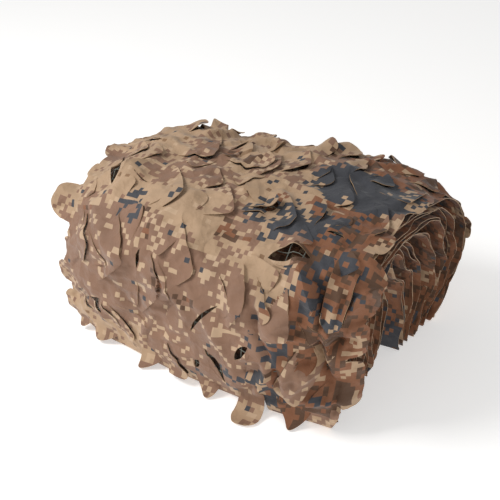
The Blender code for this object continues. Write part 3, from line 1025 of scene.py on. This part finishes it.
def zoneField(tree, cell, rows):
    # soft mounds that say where a colour gathers, in cloth coordinates
    total = None
    for row in rows:
        middle = (-(row["u"] + chartOrigin[0]) / row["long"], -(row["v"] + chartOrigin[1]) / row["wide"], 0.0)
        scaled = addNode(tree, "ShaderNodeVectorMath", [cell, (1 / row["long"], 1 / row["wide"], 0.0), middle],
                         operation="MULTIPLY_ADD")
        away = addNode(tree, "ShaderNodeVectorMath", [scaled.outputs[0]], operation="LENGTH")
        mound = addNode(tree, "ShaderNodeMapRange", {
            "Value": away.outputs["Value"], "From Min": 0.35, "From Max": 1.0, "To Min": row["gain"],
            "To Max": 0.0}, interpolation_type="SMOOTHSTEP").outputs[0]
        if total is not None:
            mound = addNode(tree, "ShaderNodeMath", [total, mound], operation="MAXIMUM").outputs[0]
        total = mound
    return total


def printColour(tree, chart, zones):
    # generic pixel camouflage: noise read once for each square, then cut at levels
    pixel = printStyle["pixel"]
    cells, grains = {}, {}
    for squares, wide in (("any", 1), ("pair", 2)):
        cell = addNode(tree, "ShaderNodeVectorMath", [chart, (wide * pixel, pixel, 1.0)], operation="SNAP")
        cells[squares] = cell.outputs[0]
        grains[squares] = addNode(tree, "ShaderNodeTexWhiteNoise", {"Vector": cells[squares]},
                                  noise_dimensions="2D").outputs["Value"]
    cell = cells["any"]
    centre = addNode(tree, "ShaderNodeVectorMath", [cell, (pixel / 2, pixel / 2, pixel / 2)], operation="ADD")
    lone = addNode(tree, "ShaderNodeTexChecker", {"Vector": centre.outputs[0], "Scale": 1 / pixel})
    base = addNode(tree, "ShaderNodeRGB")
    base.outputs[0].default_value = linear(printStyle["sand"])
    colour, masks = base.outputs[0], {}
    for row in printLayers:
        shift = (row["seed"], row["seed"] * 0.7, 0.0)
        place = addNode(tree, "ShaderNodeVectorMath", [cell, shift], operation="ADD")
        cloud = addNode(tree, "ShaderNodeTexNoise", {
            "Vector": place.outputs[0], "Scale": perMetre(row["cloud"] * mm), "Detail": 2.0, "Roughness": 0.55},
            noise_dimensions="2D")
        grain = grains["pair" if row["squares"] == "pair" else "any"]
        value = addNode(tree, "ShaderNodeMath", [grain, row["grain"], cloud.outputs["Fac"]],
                        operation="MULTIPLY_ADD").outputs[0]
        if row["gather"]:
            gathered = zoneField(tree, cell, zones[row["gather"]])
            value = addNode(tree, "ShaderNodeMath", [value, gathered], operation="ADD").outputs[0]
        mask = addNode(tree, "ShaderNodeMath", [value, row["level"]], operation="GREATER_THAN").outputs[0]
        bounds = [lone.outputs["Fac"]] if row["squares"] == "lone" else []
        bounds += [masks[row["within"]]] if row["within"] else []
        for bound in bounds:
            mask = addNode(tree, "ShaderNodeMath", [mask, bound], operation="MULTIPLY").outputs[0]
        masks[row["name"]] = mask
        colour = addNode(tree, "ShaderNodeMix", {0: mask, 6: colour, 7: linear(printStyle[row["colour"]])},
                         data_type="RGBA").outputs[2]
    return colour


# Where the colours gather: u and v of the middle and half of the length and width, in metres
zoneColumns = "u v long wide gain"
faceZones = {
    "mauve": table(zoneColumns, [
        (-0.13, 0.17, 0.21, 0.17, 0.40),
        (0.01, 0.12, 0.19, 0.165, 0.42),
        (-0.11, 0.36, 0.10, 0.06, 0.14),
        (-0.02, 0.44, 0.13, 0.06, 0.16),
        (-0.10, 0.66, 0.20, 0.10, 0.2),
    ]),
    "rust": table(zoneColumns, [
        (0.23, 0.20, 0.13, 0.26, 0.45),
        (0.21, 0.38, 0.11, 0.07, 0.34),
        (0.24, 0.62, 0.16, 0.20, 0.42),
        (0.05, 0.80, 0.3, 0.14, 0.30),
    ]),
    "slate": table(zoneColumns, [
        (0.18, 0.465, 0.125, 0.082, 0.64),
        (0.13, 0.34, 0.11, 0.07, 0.46),
        (0.22, 0.26, 0.07, 0.09, 0.32),
        (-0.12, 0.28, 0.045, 0.04, 0.36),
        (0.15, 0.04, 0.12, 0.06, 0.36),
        (0.15, 0.15, 0.05, 0.08, 0.30),
        (0.0, 0.72, 0.20, 0.08, 0.3),
    ]),
}
# On the folds rust and slate gather over the right end more thickly than the print has them there: the rust is
# partly the print's own, and partly painted shade that darkens the inner layers and the slot between the legs
foldZonesPrintAndShade = {
    "mauve": table(zoneColumns, [(-0.1, 3.0, 0.4, 9.0, 0.16)]),
    "rust": table(zoneColumns, [(0.30, 4.0, 0.34, 9.0, 0.44)]),
    "slate": table(zoneColumns, [(0.30, 4.0, 0.30, 9.0, 0.07), (0.20, 8.55, 0.14, 0.16, 0.4)]),
}

clothFinish = {
    "blotch": 71.4 * mm,      # patches where the dye took better or worse
    "crumple": 18.2 * mm,     # soft crumples
    "crease": 47.6 * mm,      # between ridged creases
    "facet": 33.3 * mm,       # flat facets with sharp creases between, as in cloth that was packed tight
    "drift": 55.6 * mm,       # waves that bend the facets' edges
    "driftReach": 50 * mm,
    "weave": 1.6 * mm,        # threads are 0.3 mm apart, drawn coarser so that they just show
    "creaseShare": 0.8,       # heights against the crumples'
    "facetShare": 1.6,
    "weaveShare": 0.03,
    "depth": 3.0 * mm,
}


def printedPolyester(name, zones):
    # 150 denier polyester taffeta, dye printed: flat, dry colour with a faint sheen and soft crumples
    material, tree, shader = newMaterial(name, 0.68)
    chart = addNode(tree, "ShaderNodeUVMap", uv_map="clothMap").outputs["UV"]
    blotch = addNode(tree, "ShaderNodeTexNoise", {
        "Vector": chart, "Scale": perMetre(clothFinish["blotch"]), "Detail": 3.0})
    tone = addNode(tree, "ShaderNodeMapRange", {
        "Value": blotch.outputs["Fac"], "To Min": 0.90, "To Max": 1.10, "From Min": 0.3, "From Max": 0.7})
    toned = addNode(tree, "ShaderNodeMix", {0: 1.0, 6: printColour(tree, chart, zones), 7: tone.outputs[0]},
                    data_type="RGBA", blend_type="MULTIPLY")
    tree.links.new(toned.outputs[2], shader.inputs["Base Color"])
    # the wave node repeats every 2 pi / 20 at scale 1
    weave = addNode(tree, "ShaderNodeTexWave", {
        "Vector": chart, "Scale": 2 * math.pi / (20 * clothFinish["weave"]), "Distortion": 1.0},
        wave_type="BANDS", bands_direction="X")
    crumple = addNode(tree, "ShaderNodeTexNoise", {
        "Vector": chart, "Scale": perMetre(clothFinish["crumple"]), "Detail": 4.0, "Roughness": 0.6})
    crease = addNode(tree, "ShaderNodeTexNoise", {
        "Vector": chart, "Scale": perMetre(clothFinish["crease"]), "Detail": 2.0, "Roughness": 0.5,
        "Offset": 0.9, "Gain": 1.6}, noise_type="RIDGED_MULTIFRACTAL")
    drift = addNode(tree, "ShaderNodeTexNoise", {
        "Vector": chart, "Scale": perMetre(clothFinish["drift"]), "Detail": 2.0})
    reach = (clothFinish["driftReach"], clothFinish["driftReach"], 0.0)
    bent = addNode(tree, "ShaderNodeVectorMath", [drift.outputs["Color"], reach, chart],
                   operation="MULTIPLY_ADD")
    facets = addNode(tree, "ShaderNodeTexVoronoi", {
        "Vector": bent.outputs[0], "Scale": perMetre(clothFinish["facet"]), "Randomness": 1.0},
        feature="F1", voronoi_dimensions="2D")
    height = crumple.outputs["Fac"]
    for texture, share in ((crease.outputs["Fac"], "creaseShare"), (facets.outputs["Distance"], "facetShare"),
                           (weave.outputs["Fac"], "weaveShare")):
        height = addNode(tree, "ShaderNodeMath", [texture, clothFinish[share], height],
                         operation="MULTIPLY_ADD").outputs[0]
    bump = addNode(tree, "ShaderNodeBump", {
        "Strength": 0.9, "Distance": clothFinish["depth"], "Height": height})
    tree.links.new(bump.outputs["Normal"], shader.inputs["Normal"])
    shader.inputs["Specular IOR Level"].default_value = 0.35
    shader.inputs["Sheen Weight"].default_value = 0.12
    shader.inputs["Sheen Roughness"].default_value = 0.5
    return material


def mottled(name, roughness, patch, detail, dark, light):
    # two tones in soft patches of the given size
    material, tree, shader = newMaterial(name, roughness)
    place = addNode(tree, "ShaderNodeTexCoord").outputs["Object"]
    patches = addNode(tree, "ShaderNodeTexNoise", {"Vector": place, "Scale": perMetre(patch), "Detail": detail})
    tone = addNode(tree, "ShaderNodeMix", {0: patches.outputs["Fac"], 6: linear(dark), 7: linear(light)},
                   data_type="RGBA")
    tree.links.new(tone.outputs[2], shader.inputs["Base Color"])
    return material


def cutEdgeHighlight():
    # cut edge of the polyester, mottled brown and pale over some 25 mm; the pale is a painted highlight for the
    # light that the thin rim catches
    return mottled("cutEdgePaintedHighlight", 0.5, 25 * mm, 2.0, "#8F6E50", "#C9AB88")


def netCord():
    # twisted polyester twine, dull and dark, a turn of its twist every 1.7 mm
    return mottled("twistedTwine", 0.8, 1.667 * mm, 1.0, "#4A4B45", "#8B8C80")


def thicken(piece, thickness, materials):
    for material in materials:
        piece.data.materials.append(material)
    wall = piece.modifiers.new("wall", "SOLIDIFY")
    wall.thickness = thickness
    wall.offset = 0.0
    # the rims take the second material, which is the cut edge with its painted pale highlight
    wall.material_offset_rim = 1
    keepResult(piece, wall)
    piece.data.set_sharp_from_angle(angle=math.radians(50))
    return piece


surface = FaceSurface()
print("surface ready")
leaves = placeLeaves()
print("leaves placed:", len(leaves))
# the cloth's rims are painted pale, a painted highlight
rim = cutEdgeHighlight()
faceCloth = printedPolyester("printedPolyester", faceZones)
# the folds' copy of the print is darker than the face's, partly painted shade
foldClothPrintAndShade = printedPolyester("printedPolyesterFoldsPaintedShade", foldZonesPrintAndShade)
nettingFace = thicken(buildFace(surface, leaves), face["thickness"], [faceCloth, rim])
print("face cloth:", len(nettingFace.data.polygons), "faces")
outerLayers, innerLayers = range(1, 6), range(6, bundle["layers"])
outerFolds, reached = buildFolds("nettingOuterFolds", outerLayers, 1.0)
innerFolds, reached = buildFolds("nettingInnerFolds", innerLayers, reached)
for piece in (outerFolds, innerFolds):
    thicken(piece, folds["thickness"], [foldClothPrintAndShade, rim])
print("folds:", len(outerFolds.data.polygons), len(innerFolds.data.polygons), "faces")
print("length of cloth in the folds:", round(reached - 1, 2))
carrierNet = growNodes(buildCarrier(surface), cordTree(), {
    "Cord Radius": carrier["cord"], "Cord Sides": carrier["sides"], "Finish": netCord()})
print("carrier net:", len(carrierNet.data.polygons), "faces")

pieces = [nettingFace, outerFolds, innerFolds, carrierNet]
for piece in pieces:
    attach(piece, "root")
    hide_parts("netting")

turnLong = folds["turnStep"] * len(folds["turnShares"])
for piece, layers in ((outerFolds, outerLayers), (innerFolds, innerLayers)):
    foldsLong = sum(runTable(layer)[1][-1] + turnLong for layer in layers)

# Pale floor, soft light, and a camera at the photo's angle
studio = {
    "floorSize": 14.0,
    "floor": "#F7F6F4",
    "floorGlow": 0.41,        # lit from below like a light table, so that it stays white
    "world": 0.38,
    "keyPower": 28.0,
    "keySize": 0.8,
    "keyPlace": (-1.1, -1.0, 1.7),
    "fillPower": 8.0,
    "fillSize": 1.6,
    "fillPlace": (1.6, -1.2, 0.9),
}


def buildStudio():
    mesh = bpy.data.meshes.new("studioFloor")
    half = studio["floorSize"] / 2
    corners = [(-half, -half, 0), (half, -half, 0), (half, half, 0), (-half, half, 0)]
    mesh.from_pydata(corners, [], [(0, 1, 2, 3)])
    paper, _, shader = newMaterial("paleFloor", 0.9)
    shader.inputs["Base Color"].default_value = linear(studio["floor"])
    shader.inputs["Emission Color"].default_value = (1.0, 1.0, 1.0, 1.0)
    shader.inputs["Emission Strength"].default_value = studio["floorGlow"]
    mesh.materials.append(paper)
    addObject("studioFloor", mesh)
    world = bpy.data.worlds.new("softWorld")
    bpy.context.scene.world = world
    world.use_nodes = True
    sky = world.node_tree.nodes["Background"].inputs
    sky["Color"].default_value = (1.0, 1.0, 1.0, 1.0)
    sky["Strength"].default_value = studio["world"]
    for name in ("key", "fill"):
        lamp = bpy.data.lights.new(name, "AREA")
        lamp.energy, lamp.size = studio[name + "Power"], studio[name + "Size"]
        light = addObject(name, lamp)
        light.location = studio[name + "Place"]
        light.rotation_euler = (-Vector(light.location)).to_track_quat("-Z", "Y").to_euler()


shot = {
    "azimuth": 33.0, "elevation": 33.0, "distance": 1.65,
    "target": (0.0254, -0.0226, 0.13),
    "lens": 72.0, "sensor": 36.0,
    "shift": (-0.022, 0.024),
}


def buildCamera():
    azimuth, elevation = math.radians(shot["azimuth"]), math.radians(shot["elevation"])
    way = Vector((math.sin(azimuth) * math.cos(elevation), -math.cos(azimuth) * math.cos(elevation),
                  math.sin(elevation)))
    lens = bpy.data.cameras.new("camera")
    lens.lens, lens.sensor_width = shot["lens"], shot["sensor"]
    lens.shift_x, lens.shift_y = shot["shift"]
    camera = addObject("camera", lens)
    camera.location = Vector(shot["target"]) + way * shot["distance"]
    camera.rotation_euler = way.to_track_quat("Z", "Y").to_euler()
    bpy.context.scene.camera = camera


buildStudio()
buildCamera()
bpy.context.scene.view_settings.view_transform = "Standard"
print("studio ready")
